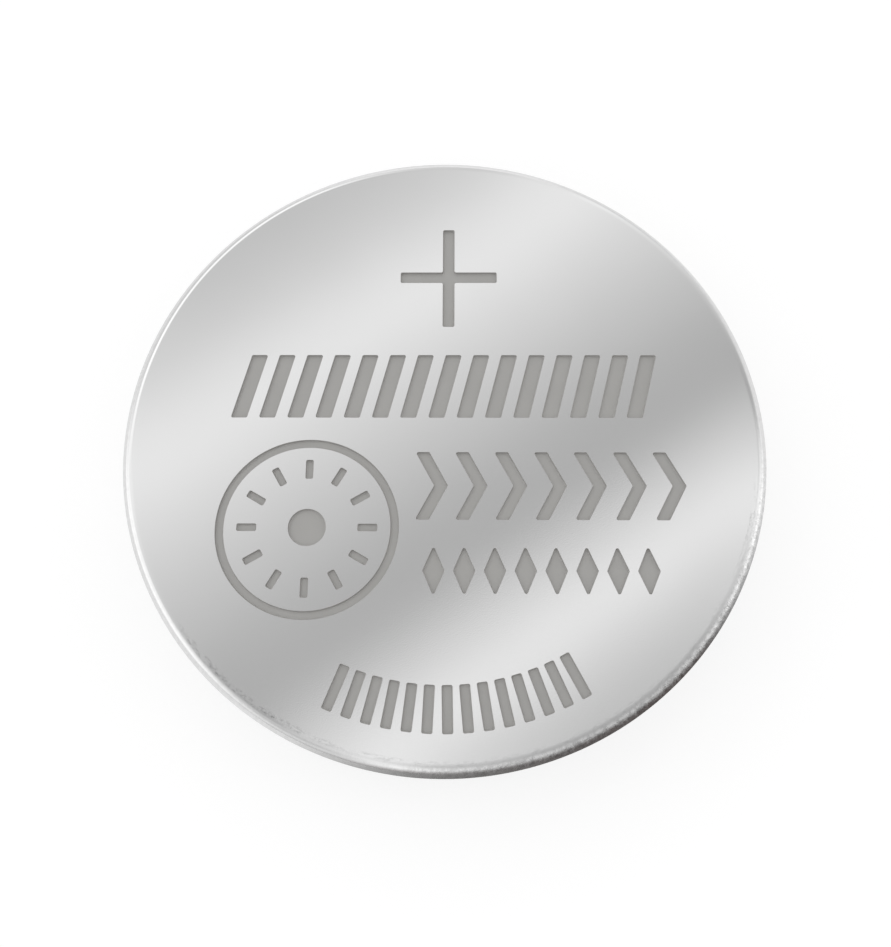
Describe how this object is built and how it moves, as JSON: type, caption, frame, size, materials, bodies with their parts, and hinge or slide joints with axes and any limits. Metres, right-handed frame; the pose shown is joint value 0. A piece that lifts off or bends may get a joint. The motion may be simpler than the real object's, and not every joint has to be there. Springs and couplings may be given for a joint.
{
  "type": "lithium coin cell",
  "caption": "Flat round lithium coin cell: a drawn steel can rolled over a plastic gasket onto a stepped negative cap, with electrodes and separator sealed inside.",
  "frame": {"origin": "centre of the negative contact's flat face, on which the cell lies", "axes": "+Z along the cell's axis, from the negative contact to the positive contact; X and Y across the cell"},
  "size_m": [0.0125, 0.0124, 0.002],
  "materials": {
    "can_steel": "satin nickel-plated stainless steel",
    "gasket_plastic": "natural polypropylene",
    "cap_steel": "satin nickel-plated stainless steel",
    "lithium_foil": "dull punched foil",
    "separator_fleece": "plain non-woven fleece",
    "cathode_mix": "matt pressed powder",
    "collector_steel": "bare stainless steel grid"
  },
  "bodies": {
    "root": {"positive_can": "can_steel", "gasket": "gasket_plastic", "negative_cap": "cap_steel", "lithium_anode": "lithium_foil", "separator": "separator_fleece", "cathode_pellet": "cathode_mix", "cathode_collector": "collector_steel"}
  },
  "joints": []
}
